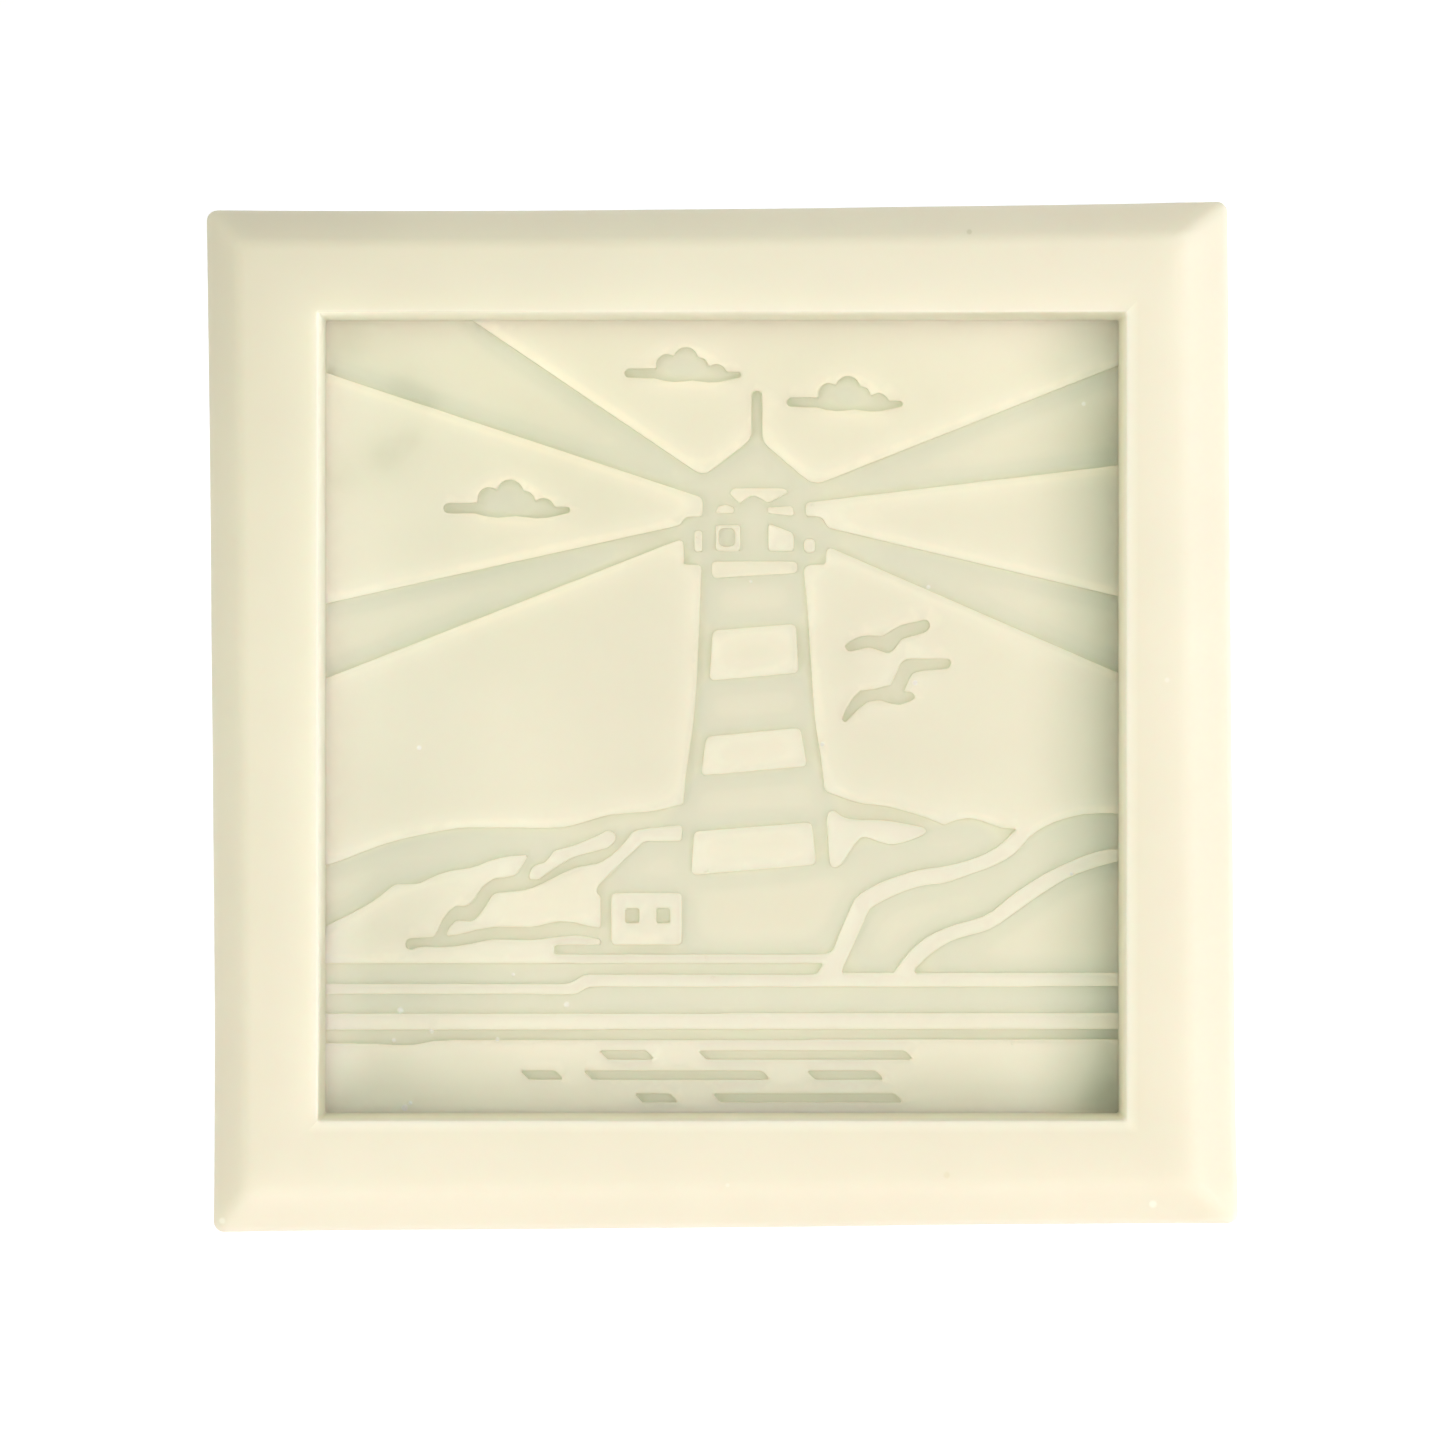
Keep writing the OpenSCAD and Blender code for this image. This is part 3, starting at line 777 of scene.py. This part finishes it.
def silicone(name, base, tints, reach, glow, marks):
    """Cream cast silicone: a soft, slightly translucent body with faint clouding and fine grain.

    tints, painted light and shade among them, are laid over the base colour by vertex value, and
    marks as small round spots. reach is how far light goes inside, and glow a painted glow, standing
    in for the light that the renderer's scattering leaves out.
    """
    material = bpy.data.materials.new(name)
    material.use_nodes = True
    nodes, links = material.node_tree.nodes, material.node_tree.links
    shader = nodes["Principled BSDF"]

    def node(kind, **values):
        made = nodes.new(kind)
        for key, value in values.items():
            if hasattr(made, key):
                setattr(made, key, value)
            else:
                made.inputs[key].default_value = value
        return made

    # Faint clouds in the colour
    place = node("ShaderNodeTexCoord")
    clouds = node("ShaderNodeTexNoise", Scale=90.0, Detail=3.0, Roughness=0.5)
    links.new(place.outputs["Object"], clouds.inputs["Vector"])
    tone = node("ShaderNodeValToRGB")
    darkest, palest = (tuple(channel * share for channel in base) for share in CLOUDING)
    set_ramp(tone, ((0.3, darkest), (0.7, palest)))
    links.new(clouds.outputs["Fac"], tone.inputs["Fac"])
    color = tone.outputs["Color"]

    def tinted(color, factor, tint):
        """The colour times a tint: a colour laid on by a factor, or a socket laid on in full."""
        mixed = node("ShaderNodeMix", data_type="RGBA", blend_type="MULTIPLY")
        links.new(color, mixed.inputs[6])
        if isinstance(tint, tuple):
            mixed.inputs[7].default_value = tint + (1,)
            links.new(factor, mixed.inputs["Factor"])
        else:
            mixed.inputs["Factor"].default_value = 1.0
            links.new(tint, mixed.inputs[7])
        return mixed.outputs[2]

    # Tints by vertex value, painted light and shade among them
    for attribute, lowest, stops in tints:
        reading = node("ShaderNodeAttribute", attribute_name=attribute)
        share = node("ShaderNodeMapRange")
        share.inputs["From Min"].default_value = lowest
        links.new(reading.outputs["Fac"], share.inputs["Value"])
        shade = node("ShaderNodeValToRGB")
        set_ramp(shade, [((value - lowest) / (1 - lowest), tint) for value, tint in stops])
        links.new(share.outputs["Result"], shade.inputs["Fac"])
        color = tinted(color, None, shade.outputs["Color"])

    # Small round marks, measured level with the table
    flat = node("ShaderNodeVectorMath", operation="MULTIPLY")
    flat.inputs[1].default_value = (1, 1, 0)
    links.new(place.outputs["Object"], flat.inputs[0])
    for x, y, radius, tint in marks:
        away = node("ShaderNodeVectorMath", operation="DISTANCE")
        away.inputs[1].default_value = (x * MM, y * MM, 0)
        links.new(flat.outputs["Vector"], away.inputs[0])
        near = node("ShaderNodeMapRange")
        near.inputs["From Min"].default_value = radius * MM
        near.inputs["From Max"].default_value = radius * MM * 0.5
        links.new(away.outputs["Value"], near.inputs["Value"])
        color = tinted(color, near.outputs["Result"], tint)
    links.new(color, shader.inputs["Base Color"])

    # Fine grain, and slightly uneven gloss
    grain = node("ShaderNodeTexNoise", Scale=2600.0, Detail=2.0, Roughness=0.6)
    links.new(place.outputs["Object"], grain.inputs["Vector"])
    bump = node("ShaderNodeBump", Strength=0.12, Distance=0.00004)
    links.new(grain.outputs["Fac"], bump.inputs["Height"])
    links.new(bump.outputs["Normal"], shader.inputs["Normal"])
    matte = node("ShaderNodeMapRange")
    matte.inputs["To Min"].default_value = 0.50
    matte.inputs["To Max"].default_value = 0.60
    links.new(clouds.outputs["Fac"], matte.inputs["Value"])
    links.new(matte.outputs["Result"], shader.inputs["Roughness"])

    # Light inside the material, and the painted glow
    shader.inputs["Subsurface Weight"].default_value = 1.0
    shader.inputs["Subsurface Radius"].default_value = SCATTER
    shader.inputs["Subsurface Scale"].default_value = reach
    shader.inputs["Specular IOR Level"].default_value = 0.35
    shader.inputs["IOR"].default_value = 1.41
    attribute, strength, glow_color = glow
    shader.inputs["Emission Color"].default_value = glow_color + (1,)
    reading = node("ShaderNodeAttribute", attribute_name=attribute)
    share = node("ShaderNodeMapRange")
    share.inputs["To Max"].default_value = strength
    links.new(reading.outputs["Fac"], share.inputs["Value"])
    links.new(share.outputs["Result"], shader.inputs["Emission Strength"])
    return material


shell = make_shell()
picture = make_picture()
body_material = silicone("silicone_body", CREAM, SHELL_TINTS, BODY_REACH, WALL_GLOW, MARKS)
pale_flecks = [(x, y, radius * FLECK_HALO, PALE_FLECK) for x, y, radius, _ in FLECKS]
relief_material = silicone(
    "silicone_relief", SHADED_CREAM, PICTURE_TINTS, RELIEF_REACH, EDGE_GLOW, pale_flecks
)
for piece, material, nodes, slot in (
    (shell, body_material, SHELL_NODES, "silicone_body"),
    (picture, relief_material, PICTURE_NODES, "silicone_relief"),
):
    piece.data.materials.append(material)
    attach(piece, "root")
    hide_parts(*nodes)


# ---- Floor, light and camera -----------------------------------------------------------------
# Lengths from here on are in metres. The paper's light: distance from the middle, and strength
PAPER_GLOW = (
    (0.0, 0.68), (0.058, 0.68), (0.074, 0.42), (0.095, 0.30), (0.15, 0.17), (0.30, 0.06),
    (0.60, 0.0),
)
PAPER_RADIUS = 4.0
PAPER_GAP = 0.0002          # keeps the paper clear of the mould's underside
LENS_HEIGHT = 1.38          # of the camera above the rim
VIEW_WIDTH = 0.12725        # what it sees across at the height of the rim
LENS_SHIFT = (0.00005, -0.00054)
SENSOR = 36.0
# Softboxes above and round the mould: name, place, width, power and colour
LAMPS = (
    ("key", (0.297, -0.153, 1.56), 0.6, 9.9, (1.0, 0.813, 0.806)),
    ("side", (1.46, -0.6, 0.39), 0.6, 11.0, (0.94, 0.95, 1.0)),
    ("left", (-0.7, 0.0, 1.21), 0.6, 3.5, (1.0, 0.90, 0.73)),
    ("front", (0.0, -0.58, 0.145), 0.4, 0.31, (1.0, 0.705, 0.649)),
    ("top", (0.0, 0.0, 1.6), 0.5, 3.5, (0.22, 0.76, 1.0)),
)
ROOM_WALLS = (0.64, 0.62, 0.54)
ROOM_CEILING = (0.33, 0.30, 0.19)


def paper():
    """White paper, lit from below round the mould, so that no shadow falls on it."""
    material = bpy.data.materials.new("paper")
    material.use_nodes = True
    nodes, links = material.node_tree.nodes, material.node_tree.links
    shader = nodes["Principled BSDF"]
    shader.inputs["Base Color"].default_value = (0.9, 0.9, 0.9, 1)
    shader.inputs["Roughness"].default_value = 0.9
    shader.inputs["Specular IOR Level"].default_value = 0.1
    shader.inputs["Emission Color"].default_value = (0.8, 0.82, 1, 1)
    place = nodes.new("ShaderNodeTexCoord")
    away = nodes.new("ShaderNodeVectorMath")
    away.operation = "LENGTH"
    links.new(place.outputs["Object"], away.inputs[0])
    widest = PAPER_GLOW[-1][0]
    share = nodes.new("ShaderNodeMapRange")
    share.inputs["From Max"].default_value = widest
    links.new(away.outputs["Value"], share.inputs["Value"])
    glow = nodes.new("ShaderNodeValToRGB")
    set_ramp(glow, [(distance / widest, (strength,) * 3) for distance, strength in PAPER_GLOW])
    links.new(share.outputs["Result"], glow.inputs["Fac"])
    links.new(glow.outputs["Color"], shader.inputs["Emission Strength"])
    return material


def make_floor():
    """A wide round sheet of white paper under the mould."""
    around = 96
    sweep = [2 * math.pi * step / around for step in range(around)]
    vertices = [(PAPER_RADIUS * math.cos(a), PAPER_RADIUS * math.sin(a), 0) for a in sweep]
    mesh = bpy.data.meshes.new("floor")
    mesh.from_pydata(vertices, [], [tuple(range(around))])
    floor = bpy.data.objects.new("floor", mesh)
    bpy.context.scene.collection.objects.link(floor)
    floor.location.z = low.z - PAPER_GAP
    mesh.materials.append(paper())


def soft_light(name, place, size, power, color):
    """A round softbox aimed at the middle of the mould's top, and not seen by the camera."""
    light = bpy.data.lights.new(name, "AREA")
    light.shape, light.size, light.energy, light.color = "DISK", size, power, color
    lamp = bpy.data.objects.new(name, light)
    bpy.context.scene.collection.objects.link(lamp)
    lamp.location = place
    aim = Vector((0, 0, RIM_Z * MM)) - Vector(place)
    lamp.rotation_euler = aim.to_track_quat("-Z", "Y").to_euler()
    lamp.visible_camera = False


def make_world(walls, ceiling):
    """A plain room: pale near the floor, and dimmer overhead, where the lamps hang."""
    world = bpy.data.worlds.new("room")
    world.use_nodes = True
    nodes, links = world.node_tree.nodes, world.node_tree.links
    place = nodes.new("ShaderNodeTexCoord")
    parts = nodes.new("ShaderNodeSeparateXYZ")
    links.new(place.outputs["Generated"], parts.inputs["Vector"])
    rise = nodes.new("ShaderNodeMapRange")
    rise.interpolation_type = "SMOOTHSTEP"
    rise.inputs["From Min"].default_value = 0.1
    rise.inputs["From Max"].default_value = 0.3
    links.new(parts.outputs["Z"], rise.inputs["Value"])
    mixed = nodes.new("ShaderNodeMix")
    mixed.data_type = "RGBA"
    mixed.inputs[6].default_value = walls + (1,)
    mixed.inputs[7].default_value = ceiling + (1,)
    links.new(rise.outputs["Result"], mixed.inputs["Factor"])
    links.new(mixed.outputs[2], nodes["Background"].inputs["Color"])
    bpy.context.scene.world = world


def make_camera():
    """Looks straight down into the mould from well above, with a long lens."""
    camera = bpy.data.objects.new("camera", bpy.data.cameras.new("camera"))
    bpy.context.scene.collection.objects.link(camera)
    camera.location = (*LENS_SHIFT, RIM_Z * MM + LENS_HEIGHT)
    camera.data.sensor_width = SENSOR
    camera.data.lens = SENSOR * LENS_HEIGHT / VIEW_WIDTH
    camera.data.clip_end = 20
    bpy.context.scene.camera = camera


make_floor()
for lamp in LAMPS:
    soft_light(*lamp)
make_world(ROOM_WALLS, ROOM_CEILING)
make_camera()
bpy.context.scene.view_settings.view_transform = "Standard"

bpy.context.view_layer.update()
